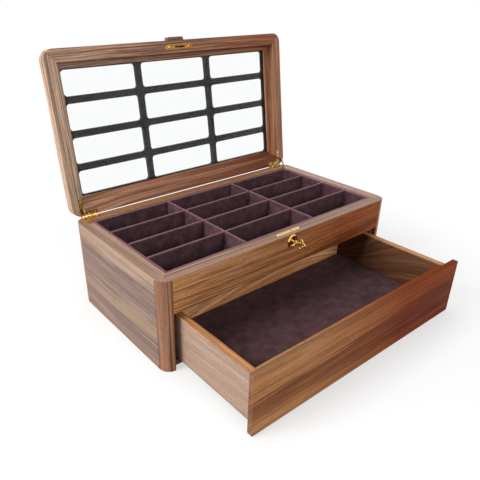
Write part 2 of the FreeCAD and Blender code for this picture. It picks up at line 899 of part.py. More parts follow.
def make_key():
    """The key in the lock: a bit, a round shank, a turned collar and a bow of three rings."""
    body = new_body("key")
    tip_y = bolt_y - size.bolt_thick / 2 - size.key_gap
    shank_end = -half_depth - size.escutcheon_proud - size.key_shank_out
    add(body, "front", shank_end, tip_y, (), [(0, 0, size.key_radius)])
    add(body, "front", shank_end, shank_end + size.key_collar_long, (),
        [(0, 0, size.key_radius + size.key_collar_rise)])
    half_bit = size.key_bit_thick / 2
    add(body, "front", tip_y - size.key_bit_long, tip_y,
        [rectangle(-half_bit, half_bit, -size.key_bit, 0)])
    half_bow = size.key_bow_thick / 2
    bow_y = -half_depth - size.key_bow_out - size.key_bow_ring
    spread = size.key_bow_spread
    rings = [(bow_y, spread), (bow_y, -spread), (bow_y - spread, 0)]
    add(body, "side", -half_bow, half_bow, (), [(bow_y, 0, size.key_bow_hole)])
    add(body, "side", -half_bow, half_bow, [rectangle(
        bow_y, shank_end + size.key_collar_long, -size.key_neck_half, size.key_neck_half)])
    for y, z in rings:
        add(body, "side", -half_bow, half_bow, (), [(y, z, size.key_bow_ring)])
    for y, z in rings:
        cut(body, "side", -half_bow, half_bow, (), [(y, z, size.key_bow_hole)])
    body.setExpression("Placement.Base.z", size.key_height.text)


def make_lock():
    make_lock_plate()
    make_lock_case()
    make_lock_bolt()
    make_escutcheon()
    make_key()


# The quadrant hinges

def make_leaf(label, side, low, high, knuckles, axis, upward):
    """One leaf: an L let into the wood, its knuckles and the stay's slot."""
    axis_y, axis_z = axis
    shift = axis_y - hinge_y
    body = new_body(label)

    def moved(outline):
        return [(x, y + shift) for x, y in outline]

    add(body, "plan", low, high, [moved(leaf_outline(side, leaf_reach))])
    gap = size.knuckle_gap
    for index in knuckles:
        start = knuckle_x + size.knuckle_long * index + gap / 2
        stop = start + size.knuckle_long - gap
        bounds = sorted((side * start, side * stop), key=lambda edge: edge.value)
        add(body, "plan", low, high, [rectangle(
            bounds[0], bounds[1], axis_y - size.hinge_behind - size.leaf_back_wide / 2,
            axis_y - size.knuckle_radius / 2)])
        add(body, "side", bounds[0], bounds[1], (), [(axis_y, axis_z, size.knuckle_radius)])
    ends = sorted((side * knuckle_x, side * knuckle_end), key=lambda edge: edge.value)
    cut(body, "side", ends[0], ends[1], (),
        [(axis_y, axis_z, size.pin_radius + size.running_gap)])
    outer = size.stay_radius + size.stay_band / 2
    half_slot = size.stay_slot / 2
    slot_front = axis_y - outer - size.leaf_slot_gap
    cut(body, "plan", low, high, [rectangle(
        side * stay_x - half_slot, side * stay_x + half_slot,
        slot_front, slot_front + size.leaf_slot_long)])
    places = [(x, y + shift) for x, y in leaf_screws(side)]
    sink_holes(body, places, high, low, upward)
    return body


def make_stay(label, side):
    """The arc that joins two leaves: its end pins stop the lid against both of them."""
    body = new_body(label)
    half_angle = size.lid_opening / 2 + size.stay_grip
    inner = size.stay_radius - size.stay_band / 2
    outer = size.stay_radius + size.stay_band / 2
    limit = half_angle + size.stay_end
    middle = side * stay_x
    half_thick = size.stay_thick / 2
    half_pin = size.stop_pin_long / 2
    add(body, "side", middle - half_thick, middle + half_thick,
        [sector(inner, outer, 180 - limit, 180 + limit)])
    radius = size.stay_radius
    pins = [(radius * cosine(180 + angle), radius * sine(180 + angle), size.stop_pin_radius)
            for angle in (half_angle, -half_angle)]
    add(body, "side", middle - half_pin, middle + half_pin, (), pins)
    on_hinge_axis(body, size.lid_opening / 2)
    return body


def on_hinge_axis(item, opening):
    """Places a piece drawn about the hinge axis, turned open by an angle."""
    item.Placement = FreeCAD.Placement(
        FreeCAD.Vector(0, hinge_y.value, hinge_z.value),
        FreeCAD.Rotation(FreeCAD.Vector(-1, 0, 0), opening.value))
    item.setExpression("Placement.Base.y", hinge_y.text)
    item.setExpression("Placement.Base.z", hinge_z.text)
    item.setExpression("Placement.Rotation.Angle", opening.text)


def make_hinges():
    lid_low = size.hinge_rise
    lid_high = lid_low + size.leaf_thick
    for name, side in SIDES:
        make_leaf(f"case_leaf_{name}", side, rim_low, size.case_height, (0, 2),
                  (hinge_y, hinge_z), upward=False)
        leaf = make_leaf(f"lid_leaf_{name}", side, lid_low, lid_high, (1,),
                         (sized(0), sized(0)), upward=True)
        on_hinge_axis(leaf, size.lid_opening)
        make_stay(f"stay_{name}", side)
    pins = new_body("hinge_pins")
    pin = add(pins, "side", knuckle_x, knuckle_end, (), [(hinge_y, hinge_z, size.pin_radius)])
    document.recompute()
    mirrored_across_middle(pins, pin)


# The lid, drawn closed about the hinge axis

def make_lid():
    mating = size.hinge_rise
    top = mating + size.lid_height
    near = -half_depth - hinge_y
    far = half_depth - hinge_y
    middle = (near + far) / 2
    opening = rectangle(-inner_half_length, inner_half_length,
                        middle - inner_half_depth, middle + inner_half_depth)
    lip_x = inner_half_length - size.lip_wide
    lip_y = inner_half_depth - size.lip_wide
    lip_low = mating + size.lip_low
    lip_high = lip_low + size.lip_thick

    form = new_body("lid_form", kept=False)
    add(form, "plan", mating, top, [
        rounded_rectangle(-half_length, half_length, near, far, size.corner_round),
        rectangle(-lip_x, lip_x, middle - lip_y, middle + lip_y),
    ])

    dress(form, "Fillet", "Radius", size.lid_round, outer_edge(top, middle))
    cut(form, "plan", mating, lip_low, [opening])
    cut(form, "plan", lip_high, top, [opening])
    leaf_high = mating + size.leaf_thick
    for side in (-1, 1):
        shifted = [(x, y - hinge_y) for x, y in leaf_outline(side, sized(1))]
        cut(form, "plan", mating, leaf_high, [shifted])
        cut_stay_pocket(form, side, leaf_high, 1)
        cut_knuckle_bed(form, side, (sized(0), sized(0)))

    strike_y = lock_y - hinge_y
    slot_y = bolt_y - hinge_y
    strike_high = mating + size.plate_thick
    strike = [stadium(-size.strike_half, size.strike_half, strike_y, size.strike_wide / 2)]
    cut(form, "plan", mating, strike_high, strike)
    half_slot = (size.bolt_slot_wide + size.bolt_slot_gap) / 2
    bolt_high = mating + bolt_outer - size.bolt_down + size.bolt_slot_gap
    cut(form, "plan", strike_high, bolt_high, [rectangle(
        bolt_tip_x - size.bolt_room, slot_right, slot_y - half_slot, slot_y + half_slot)])
    tab_low = mating + size.tab_low
    tab_high = tab_low + size.tab_thick
    cut(form, "plan", tab_low, tab_high,
        [rectangle(-size.tab_half, size.tab_half, near, near + size.tab_in)])
    lengths = cut_in_mitres(form, "lid_rail", near, far, half_length, mating, top)

    plate = new_body("strike_plate")
    add(plate, "plan", mating, strike_high, strike)
    cut(plate, "plan", mating, strike_high, [rectangle(
        bolt_tip_x + size.bolt_catch, slot_right, slot_y - half_slot, slot_y + half_slot)])
    places = [(side * strike_screw_x, strike_y) for side in (-1, 1)]
    sink_holes(plate, places, strike_high, mating, upward=True)

    tab = new_body("lid_tab")
    tab_front = near - size.tab_out
    add(tab, "plan", tab_low, tab_high, [[
        (-size.tab_half, near + size.tab_in),
        (-size.tab_half, tab_front + size.tab_round),
        (-size.tab_half + size.tab_round, tab_front,
         (-size.tab_half + size.tab_round, tab_front + size.tab_round), 1),
        (size.tab_half - size.tab_round, tab_front),
        (size.tab_half, tab_front + size.tab_round,
         (size.tab_half - size.tab_round, tab_front + size.tab_round), 1),
        (size.tab_half, near + size.tab_in),
    ]])

    pane_x = inner_half_length - size.glazing_gap
    pane_y = inner_half_depth - size.glazing_gap
    glass_high = lip_high + size.glass_thick
    glass = board("lid_glass", -pane_x, pane_x, middle - pane_y, middle + pane_y,
                  lip_high, glass_high)
    lattice = make_lattice((pane_x, pane_y), (lip_x, lip_y), middle, glass_high)
    for item in lengths + [plate, tab, glass, lattice]:
        on_hinge_axis(item, size.lid_opening)


def make_lattice(outside, lip, middle, low):
    """The black lattice over the glass. Its frame shows inside the lip, so the outer openings
    are a little smaller than the others."""
    body = new_body("lid_lattice")
    high = low + size.lattice_thick
    half_x, half_y = outside
    add(body, "plan", low, high, [rectangle(-half_x, half_x, middle - half_y, middle + half_y)])
    last_x = lip[0] - size.lattice_shows
    last_y = lip[1] - size.lattice_shows
    half_bar = size.lattice_bar / 2
    outer_row = half_bar + size.pane_deep + size.lattice_bar
    rows = ((-last_y, -outer_row), (-half_bar - size.pane_deep, -half_bar),
            (half_bar, half_bar + size.pane_deep), (outer_row, last_y))

    def column(left, right):
        return [rounded_rectangle(left, right, middle + near, middle + far, size.pane_round)
                for near, far in rows]

    half_pane = size.pane_long / 2
    cut(body, "plan", low, high, column(-half_pane, half_pane))
    outer_column = cut(body, "plan", low, high,
                       column(-last_x, -half_pane - size.lattice_bar))
    document.recompute()
    mirrored_across_middle(body, outer_column)
    return body


# The drawer, drawn closed

def make_drawer():
    front = -half_depth
    slab_back = front + size.slab_thick
    box_back = inner_half_depth - size.drawer_back_gap
    half = size.drawer_width / 2
    inner = half - size.drawer_board
    wood_top = size.drawer_top - size.lipping_thick
    inner_front = slab_back + size.drawer_board
    inner_back = box_back - size.drawer_board
    floor_low = size.drawer_floor_low
    floor_high = floor_low + size.drawer_floor_thick
    slab_half = joint_x - size.slab_side_gap
    slab_top = size.rail_skin_low - size.slab_top_gap
    groove = size.groove_deep + size.groove_gap
    groove_x = inner + groove

    slab = board("drawer_front", -slab_half, slab_half, front, slab_back, size.slab_low, slab_top)

    def show_edge(edge):
        box = edge.BoundBox
        return abs(box.YMin - front.value) < 1e-4 and abs(box.YMax - front.value) < 1e-4

    dress(slab, "Fillet", "Radius", size.slab_ease, show_edge)
    pieces = [slab]
    for name, side in SIDES:
        plank = board(f"drawer_side_{name}", side * inner, side * half, slab_back, box_back,
                      size.drawer_low, wood_top)
        cut(plank, "plan", floor_low, floor_high, [rectangle(
            side * inner, side * groove_x, inner_front - groove, inner_back + groove)])
        lipping = board(f"drawer_lipping_{name}", side * inner, side * half, slab_back, box_back,
                        wood_top, size.drawer_top)
        pieces += [plank, lipping]
    for name, low, high, face, way in (
            ("drawer_inner_front", slab_back, inner_front, inner_front, -1),
            ("drawer_back", inner_back, box_back, inner_back, 1)):
        plank = board(name, -inner, inner, low, high, size.drawer_low, size.drawer_top)
        cut(plank, "plan", floor_low, floor_high,
            [rectangle(-inner, inner, face, face + groove * way)])
        pieces.append(plank)
    deep = size.groove_deep
    pieces.append(board("drawer_bottom", -inner - deep, inner + deep, inner_front - deep,
                        inner_back + deep, floor_low, floor_high))
    gap = size.pad_gap
    pieces.append(board("drawer_pad", -inner + gap, inner - gap, inner_front + gap,
                        inner_back - gap, floor_high, floor_high + size.pad_thick))
    for piece in pieces:
        piece.setExpression("Placement.Base.y", (-size.drawer_pull).text)


# Build, check and write

def check_model():
    """Stops on a failed object, a bad shape or a cut that cuts nothing."""
    for item in document.Objects:
        if "Invalid" in item.State or "Error" in item.State:
            raise RuntimeError(f"{item.Label} failed: {item.State}")
        if item.TypeId == "PartDesign::Pocket":
            before = item.BaseFeature.Shape.Volume
            if item.Shape.Volume > before - 1e-3:
                raise RuntimeError(f"{item.Label} cuts nothing")
    for item in sub_parts:
        if item.Shape.isNull() or not item.Shape.isValid():
            raise RuntimeError(f"{item.Label} has no valid shape")


def write_parts():
    os.makedirs("parts", exist_ok=True)
    for item in sub_parts:
        item.Shape.exportStep(f"parts/{item.Label}.step")
        print(item.Label, len(item.Shape.Solids), round(item.Shape.Volume / 1000, 2))
    print(len(sub_parts), "sub-parts")


make_case()
make_insert()
make_lock()
make_hinges()
make_lid()
make_drawer()
document.recompute()
check_model()
write_parts()
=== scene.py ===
import json
import math
from collections import namedtuple

import bmesh
import bpy
from mathutils import Matrix, Vector, noise


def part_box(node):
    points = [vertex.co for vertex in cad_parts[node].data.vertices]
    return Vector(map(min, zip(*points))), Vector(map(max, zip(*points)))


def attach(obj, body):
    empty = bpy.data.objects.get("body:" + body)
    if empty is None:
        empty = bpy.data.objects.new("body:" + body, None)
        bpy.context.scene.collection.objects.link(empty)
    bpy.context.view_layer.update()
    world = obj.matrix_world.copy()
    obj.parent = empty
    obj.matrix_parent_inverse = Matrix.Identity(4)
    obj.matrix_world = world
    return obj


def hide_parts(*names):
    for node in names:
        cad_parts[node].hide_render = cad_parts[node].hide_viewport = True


# A walnut glasses box with velvet compartments, its glazed lid open and its lined drawer out, on
# a white floor. Metres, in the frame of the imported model: +Z up, the front faces -Y.

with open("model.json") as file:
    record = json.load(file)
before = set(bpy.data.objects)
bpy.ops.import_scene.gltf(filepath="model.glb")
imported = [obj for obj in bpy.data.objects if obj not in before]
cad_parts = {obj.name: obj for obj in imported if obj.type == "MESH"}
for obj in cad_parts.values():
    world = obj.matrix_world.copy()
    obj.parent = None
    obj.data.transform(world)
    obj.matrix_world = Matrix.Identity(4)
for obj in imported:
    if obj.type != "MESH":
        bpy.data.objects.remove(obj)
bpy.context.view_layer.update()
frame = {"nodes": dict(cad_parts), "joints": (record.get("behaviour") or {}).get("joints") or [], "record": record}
nodes = frame["nodes"]
scene = bpy.context.scene

BODY_OF = {}
for body_name, members in frame["record"]["behaviour"]["bodies"].items():
    for member in members:
        BODY_OF[member] = body_name

MM = 0.001
LID_HINGE = next(joint for joint in frame["joints"] if joint["name"] == "lid_hinge")
LID_OPENING = math.radians(LID_HINGE["range_deg"][1])
HINGE = Vector(LID_HINGE["pos_m"])
WHITE = (1.0, 1.0, 1.0, 1.0)


def srgb(red, green, blue):
    """A linear colour from display values of 0 to 255."""
    def linear(value):
        value /= 255
        return value / 12.92 if value <= 0.04045 else ((value + 0.055) / 1.055) ** 2.4

    return (linear(red), linear(green), linear(blue), 1.0)


# Materials

class Graph:
    """Adds and wires the nodes of a material or of the world."""

    def __init__(self, tree):
        self.tree = tree
        self.surface = tree.nodes.get("Principled BSDF")

    def feed(self, socket, value):
        """Links another socket to this one, or sets its value."""
        if isinstance(value, bpy.types.NodeSocket):
            self.tree.links.new(value, socket)
        else:
            socket.default_value = value

    def put(self, kind, values=(), **settings):
        """Adds a node with these settings, and feeds its first sockets."""
        node = self.tree.nodes.new(kind)
        for name, value in settings.items():
            setattr(node, name, value)
        for socket, value in zip(node.inputs, values):
            self.feed(socket, value)
        return node

    def set_surface(self, **sockets):
        """Feeds the surface's sockets, their names in lower case with underscores."""
        inputs = {item.name.lower(): item for item in self.surface.inputs}
        for name, value in sockets.items():
            self.feed(inputs[name.replace("_", " ")], value)

    def calculate(self, operation, *values):
        return self.put("ShaderNodeMath", values, operation=operation).outputs[0]

    def place(self):
        return self.put("ShaderNodeTexCoord").outputs["Object"]

    def turned_about_x(self, vector, angle):
        node = self.put("ShaderNodeVectorRotate", (vector,), rotation_type="X_AXIS")
        node.inputs["Angle"].default_value = angle
        return node.outputs[0]

    def scaled(self, vector, scale, shift=(0, 0, 0)):
        node = self.put("ShaderNodeMapping", (vector,))
        node.inputs["Location"].default_value = shift
        node.inputs["Scale"].default_value = scale
        return node.outputs[0]

    def split(self, vector):
        return self.put("ShaderNodeSeparateXYZ", (vector,)).outputs[:3]

    def join(self, x, y, z):
        return self.put("ShaderNodeCombineXYZ", (x, y, z)).outputs[0]

    def noise(self, vector, scale=1.0, detail=2.0, roughness=0.5):
        node = self.put("ShaderNodeTexNoise")
        self.feed(node.inputs["Vector"], vector)
        node.inputs["Scale"].default_value = scale
        node.inputs["Detail"].default_value = detail
        node.inputs["Roughness"].default_value = roughness
        return node.outputs["Fac"]

    def ramp(self, factor, stops):
        """A colour from stops of (position, colour)."""
        node = self.put("ShaderNodeValToRGB", (factor,))
        ramp = node.color_ramp
        while len(ramp.elements) < len(stops):
            ramp.elements.new(0.5)
        for element, (position, colour) in zip(ramp.elements, stops):
            element.position = position
            element.color = colour
        return node.outputs["Color"]

    def between(self, factor, low, high, start=0.0, stop=1.0):
        """Maps start..stop onto low..high, and keeps to low and high beyond them."""
        node = self.put("ShaderNodeMapRange", (factor, start, stop, low, high))
        return node.outputs["Result"]

    def mix(self, factor, first, second, blend="MIX"):
        """A colour from the first at factor 0 to the second, or the two blended, at 1."""
        node = self.put("ShaderNodeMix", data_type="RGBA", blend_type=blend)
        self.feed(node.inputs["Factor"], factor)
        colours = [item for item in node.inputs if item.type == "RGBA"]
        self.feed(colours[0], first)
        self.feed(colours[1], second)
        return next(item for item in node.outputs if item.type == "RGBA")

    def bump(self, height, strength, distance):
        """Shades the surface as if it had this height."""
        node = self.put("ShaderNodeBump")
        node.inputs["Strength"].default_value = strength
        node.inputs["Distance"].default_value = distance
        self.feed(node.inputs["Height"], height)
        self.feed(self.surface.inputs["Normal"], node.outputs["Normal"])

    def show_mix(self, share, first, second):
        """Shows the first shader at share 0 and the second at 1."""
        mixed = self.put("ShaderNodeMixShader", (share, first.outputs[0], second.outputs[0]))
        output = self.tree.nodes["Material Output"]
        self.tree.links.new(mixed.outputs[0], output.inputs["Surface"])


def new_material(name):
    """A material and the graph of its nodes."""
    material = bpy.data.materials.new(name)
    material.use_nodes = True
    return material, Graph(material.node_tree)


# The colours of a board's grain from its dark lines to its palest streaks, and where they lie
# between the darkest tone at 0 and the lightest at 1
Shades = namedtuple("Shades", ("line", "deep", "body", "light", "pale"))
SHADE_PLACES = Shades(0.38, 0.45, 0.50, 0.555, 0.63)

# How many marks of each kind go to the metre, along and across the grain. Streaks, lines and
# glints have a third number that sets their noise apart.
BENDS = (2, 6)
PATCHES = (6, 20)
FIBRES = (40, 1500)
PORES = (100, 2400)
STREAKS = ((4.0, 160, 4.0), (10.0, 480, 10.0), (24.0, 800, 24.0))
LINES = (3.0, 420, 14.0)
GLINTS = (5.0, 380, 17.0)

# The broadest streaks' number along the grain, and the hue's: its number along, its share of
# the broadest streaks' number across, and the number that sets its noise apart
BROAD_ALONG = 1.2
HUE_ALONG = 1.1
HUE_ACROSS = 0.8
HUE_LAYER = 20.0

# The weights of a board's streaks from the broadest to the finest
EVEN = (0.2, 0.32, 0.3, 0.18)
FINE = (0.15, 0.19, 0.39, 0.27)
BROAD = (0.4, 0.28, 0.2, 0.12)
FIGURED = (0.4, 0.3, 0.2, 0.1)

# How much the depth in a board counts as width, and how strongly each kind of mark tells
RING_SLANT = 0.7
BAND_SHARE = 0.5
# How strongly the painted glare on a face tells
GLARE_SHARE = 0.55
PATCH_SHARE = 0.22
GLINT_SHARE = 0.7
FIBRE_SHARE = 0.3
PORE_SHARE = 0.5
PORE_DEPTH = 0.8
PORE_COLOUR = srgb(48, 30, 20)

# Between which values of its noise each kind of mark comes out
HUE_RANGE = (0.44, 0.6)
PATCH_RANGE = (0.45, 0.7)
LINE_RANGE = (0.57, 0.66)
GLINT_RANGE = (0.6, 0.7)
FIBRE_RANGE = (0.35, 0.75)
PORE_RANGE = (0.64, 0.74)

# A board's roughness, and the tones between which it changes
WOOD_ROUGHNESS = (0.46, 0.6)
ROUGHNESS_TONES = (0.4, 0.6)


def wood(name, grain, colours, seed, turn=0.0, wander=0.02, wide=34.0, stretch=1.0, arch=None,
         bands=(), hue=None, shade_and_tone_drift=None, faces=(), streaky=EVEN, contrast=1.4, lines=0.6,
         gloss=0.3):
    """Walnut with its grain along x, y or z of the object's space, turned about x first.

    wide is how many broad streaks there are in a metre, stretch how much longer all streaks are
    and wander how far they stray. streaky gives their weights, contrast the spread of their
    colours, lines the strength of the dark lines and the glints, and gloss the shine. arch
    (centre, amount) bends the grain into nested arches about a place along it. bands (height,
    half width, slope, lift, colour) are lighter or darker bands along the grain. hue (colour,
    share) tints the wood here and there. The shade and tone drift (start, stop, colour) darkens
    the wood towards +x from one x to another: painted shade where the light falls off, partly
    the wood's own tone. faces (axis, start, stop, colour) grey a face beyond a place along an
    axis, painted glare where the light catches it.
    """
    material, graph = new_material(name)
    place = graph.place()
    if turn:
        place = graph.turned_about_x(place, turn)
    x, y, z = graph.split(place)
    along, across, deep = {"x": (x, y, z), "y": (y, x, z), "z": (z, x, y)}[grain]
    board = graph.join(along, across, deep)
    shift = (seed, seed * 1.7, seed * 2.3)

    def spots(lengthwise, crosswise, detail=2.0):
        scale = (lengthwise, crosswise, crosswise)
        return graph.noise(graph.scaled(board, scale, shift), detail=detail)

    bend = graph.calculate("SUBTRACT", spots(*BENDS), 0.5)
    ring = graph.calculate("MULTIPLY_ADD", bend, wander, across)
    ring = graph.calculate("MULTIPLY_ADD", deep, RING_SLANT, ring)
    if arch:
        centre, amount = arch
        reach = graph.calculate("SUBTRACT", along, centre)
        square = graph.calculate("MULTIPLY", reach, reach)
        ring = graph.calculate("MULTIPLY_ADD", square, amount, ring)

    def streaks(lengthwise, crosswise, layer, detail):
        flow = graph.join(along, ring, layer)
        scale = (lengthwise / stretch, crosswise, 1.0)
        return graph.noise(graph.scaled(flow, scale, shift), detail=detail, roughness=0.6)

    tone = 0.0
    for weight, marks in zip(streaky, ((BROAD_ALONG, wide, BROAD_ALONG), *STREAKS)):
        tone = graph.calculate("MULTIPLY_ADD", streaks(*marks, detail=2.0), weight, tone)
    tone = graph.between(tone, 0.5 - 0.5 * contrast, 0.5 + 0.5 * contrast)
    tints = []
    for height, half, slope, lift, tint in bands:
        centre = graph.calculate("MULTIPLY_ADD", along, slope, height)
        away = graph.calculate("SUBTRACT", z, centre)
        away = graph.calculate("MULTIPLY_ADD", bend, 2 * wander, away)
        within = graph.between(graph.calculate("ABSOLUTE", away), 1.0, 0.0, 0.3 * half, half)
        tone = graph.calculate("MULTIPLY_ADD", within, lift, tone)
        tints.append((graph.calculate("MULTIPLY", within, BAND_SHARE), srgb(*tint)))
    colour = graph.ramp(tone, list(zip(SHADE_PLACES, colours)))
    for share, tint in tints:
        colour = graph.mix(share, colour, tint)
    if hue:
        tint, share = hue
        marks = streaks(HUE_ALONG, wide * HUE_ACROSS, HUE_LAYER, detail=0.0)
        colour = graph.mix(graph.between(marks, 0.0, share, *HUE_RANGE), colour, srgb(*tint))
    patch = graph.between(spots(*PATCHES), 0.0, PATCH_SHARE, *PATCH_RANGE)
    colour = graph.mix(patch, colour, colours.deep)
    line = graph.between(streaks(*LINES, detail=1.0), 0.0, lines, *LINE_RANGE)
    colour = graph.mix(line, colour, colours.line)
    glint = graph.between(streaks(*GLINTS, detail=1.0), 0.0, lines * GLINT_SHARE,
                          *GLINT_RANGE)
    colour = graph.mix(glint, colour, colours.pale)
    # Painted glare: a greyer tone on the faces that the light catches
    for axis, start, stop, tint in faces:
        beyond = graph.between((x, y, z)[axis], 0.0, GLARE_SHARE, start, stop)
        colour = graph.mix(beyond, colour, srgb(*tint))
    # Painted shade: darker towards +x where the light falls off, partly the wood's own tone
    if shade_and_tone_drift:
        start, stop, tint = shade_and_tone_drift
        share = graph.between(x, 0.0, 1.0, start, stop)
        colour = graph.mix(share, colour, srgb(*tint), "MULTIPLY")
    fibre = spots(*FIBRES)
    share = graph.between(fibre, 0.0, FIBRE_SHARE, *FIBRE_RANGE)
    colour = graph.mix(share, colour, colours.line)
    pore = graph.between(spots(*PORES, detail=0.0), 0.0, 1.0, *PORE_RANGE)
    colour = graph.mix(graph.calculate("MULTIPLY", pore, PORE_SHARE), colour, PORE_COLOUR)
    roughness = graph.between(tone, *WOOD_ROUGHNESS, *ROUGHNESS_TONES)
    graph.set_surface(base_color=colour, roughness=roughness, specular_ior_level=gloss)
    relief = graph.calculate("MULTIPLY_ADD", pore, -PORE_DEPTH, fibre)
    graph.bump(relief, strength=0.2, distance=0.15 * MM)
    return material


SHEEN_TINT = srgb(206, 160, 170)


def velvet(name, dark, light, patches=60.0, sheen=0.7, lit_tops=None):
    """Short pile that shows lighter and darker where it lies differently. The painted highlight on
    its tops (low, high, colour) is the height over which its upper edges grow paler."""
    material, graph = new_material(name)
    place = graph.place()
    brushed = graph.noise(place, scale=patches, detail=5.0, roughness=0.62)
    tufts = graph.noise(place, scale=420.0, detail=3.0, roughness=0.7)
    pile = graph.noise(place, scale=2400.0, detail=2.0)
    colour = graph.mix(graph.between(brushed, 0.0, 1.0, 0.34, 0.66), dark, light)
    colour = graph.mix(graph.between(tufts, 0.0, 0.6, 0.42, 0.62), colour, dark)
    colour = graph.mix(graph.between(pile, 0.0, 0.4, 0.35, 0.7), colour, dark)
    # Painted highlight: the upper edges grow paler where the tops catch the light
    if lit_tops:
        low, high, pale = lit_tops
        height = graph.split(place)[2]
        colour = graph.mix(graph.between(height, 0.0, 0.85, low, high), colour, pale)
    graph.set_surface(base_color=colour, roughness=0.95, sheen_weight=sheen,
                      sheen_roughness=0.35, sheen_tint=SHEEN_TINT, specular_ior_level=0.1)
    graph.bump(pile, strength=0.35, distance=0.25 * MM)
    return material


def brass(name, pale, deep, roughness=0.16, clouds=160.0):
    """Brass, cloudy between a pale and a deep tone."""
    material, graph = new_material(name)
    place = graph.place()
    cloud = graph.noise(place, scale=clouds, detail=4.0, roughness=0.7)
    rub = graph.noise(graph.scaled(place, (900, 90, 900)), detail=3.0)
    colour = graph.mix(graph.between(cloud, 0.0, 1.0, 0.36, 0.64), srgb(*pale), srgb(*deep))
    rubbed = graph.between(rub, roughness - 0.05, roughness + 0.1, 0.3, 0.7)
    graph.set_surface(base_color=colour, metallic=1.0, roughness=rubbed)
    return material


def black_gloss(name):
    material, graph = new_material(name)
    cloud = graph.noise(graph.place(), scale=30.0, detail=3.0)
    share = graph.between(cloud, 0.0, 1.0, 0.3, 0.7)
    colour = graph.mix(share, srgb(26, 25, 27), srgb(34, 32, 34))
    graph.set_surface(base_color=colour, roughness=graph.between(cloud, 0.1, 0.2),
                      specular_ior_level=0.12)
    return material


def glass(name):
    """Clear coated glass that lets the lamps through."""
    material, graph = new_material(name)
    graph.set_surface(base_color=srgb(250, 252, 252), roughness=0.0, ior=1.22,
                      transmission_weight=1.0)
    clear = graph.put("ShaderNodeBsdfTransparent")
    path = graph.put("ShaderNodeLightPath")
    graph.show_mix(path.outputs["Is Shadow Ray"], graph.surface, clear)
    return material


def felt(name):
    material, graph = new_material(name)
    fibres = graph.noise(graph.place(), scale=900.0, detail=4.0)
    share = graph.between(fibres, 0.0, 1.0, 0.3, 0.7)
    colour = graph.mix(share, srgb(70, 78, 74), srgb(96, 106, 100))
    graph.set_surface(base_color=colour, roughness=0.95, sheen_weight=0.3)
    graph.bump(fibres, strength=0.4, distance=0.3 * MM)
    return material


def give(material, *pieces):
    for node in pieces:
        for slot in nodes[node].material_slots:
            slot.material = material


# Shapes

def new_mesh(name, mesh_data):
    """A mesh from built corners and faces, with its faces looking outwards."""
    bmesh.ops.recalc_face_normals(mesh_data, faces=mesh_data.faces)
    mesh = bpy.data.meshes.new(name)
    mesh_data.to_mesh(mesh)
    mesh_data.free()
    return mesh


def new_piece(name, mesh, material, body, replaces=()):
    mesh.materials.append(material)
    piece = bpy.data.objects.new(name, mesh)
    scene.collection.objects.link(piece)
    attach(piece, body)
    if replaces:
        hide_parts(*replaces)
    return piece


def smooth(mesh):
    for polygon in mesh.polygons:
        polygon.use_smooth = True


def skin(mesh_data, rings):
    """Faces from each ring of corners to the next, and over the first and the last ring."""
    for first, second in zip(rings, rings[1:]):
        for index in range(len(first)):
            following = (index + 1) % len(first)
            mesh_data.faces.new((first[index], second[index], second[following],
                                 first[following]))
    mesh_data.faces.new(rings[0])
    mesh_data.faces.new(list(reversed(rings[-1])))


def eased(node, width):
    """Eases a node's sharp edges."""
    item = nodes[node]
    weld = item.modifiers.new("weld", "WELD")
    weld.merge_threshold = 1e-6
    bevel = item.modifiers.new("ease", "BEVEL")
    bevel.width = width
    bevel.segments = 2
    bevel.limit_method = "ANGLE"
    bevel.angle_limit = math.radians(40)
    bevel.use_clamp_overlap = True
    normals = item.modifiers.new("normals", "WEIGHTED_NORMAL")
    normals.keep_sharp = False


EDGE_TURNS = 5
FEWEST_STEPS = 4
UNEVEN = 0.12 * MM
UNEVEN_SCALE = 90
TINY = 1e-7


def soft_profile(low, high, half, radius, step):
    """The closed outline of a soft board as (offset, height), up one side from its bottom edge,
    over the rounded top and down the other."""
    rise = max(int((high - low) / step), FEWEST_STEPS)
    profile = []
    for index in range(rise + 1):
        profile.append((-half, low + (high - radius - low) * index / rise))
    for index in range(1, EDGE_TURNS + 1):
        angle = math.pi / 2 * index / EDGE_TURNS
        profile.append((-half + radius - radius * math.cos(angle),
                        high - radius + radius * math.sin(angle)))
    mirrored = [(-offset, height) for offset, height in reversed(profile)
                if abs(offset) > TINY or height < high - TINY]
    return profile + mirrored


def soft_board(node, along, round_top, material, slot, step=4 * MM):
    """A cloth-covered board in a node's place: round along its top edges, a little uneven."""
    low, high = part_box(node)
    run = 0 if along == "x" else 1
    side = 1 - run
    middle = (low[side] + high[side]) / 2
    half = (high[side] - low[side]) / 2
    radius = min(round_top, half)
    profile = soft_profile(low.z, high.z, half, radius, step)
    count = max(int((high[run] - low[run]) / step), FEWEST_STEPS)
    mesh_data = bmesh.new()
    rings = []
    for index in range(count + 1):
        distance = low[run] + (high[run] - low[run]) * index / count
        ring = []
        for offset, height in profile:
            point = [0.0, 0.0, height]
            point[run] = distance
            point[side] = middle + offset
            uneven = noise.noise(Vector(point) * UNEVEN_SCALE) * UNEVEN
            outwards = 1 if offset > 0 else -1
            if height > low.z + radius:
                point[side] += (uneven - UNEVEN) * outwards
            if abs(offset) < half - TINY:
                point[2] += uneven - UNEVEN
            ring.append(mesh_data.verts.new(point))
        rings.append(ring)
    skin(mesh_data, rings)
    name = f"{slot}_{node}"
    mesh = new_mesh(name, mesh_data)
    smooth(mesh)
    return new_piece(name, mesh, material, BODY_OF[node], [node])


# The wooden pieces

def shades(line, deep, body, light, pale):
    return Shades(srgb(*line), srgb(*deep), srgb(*body), srgb(*light), srgb(*pale))


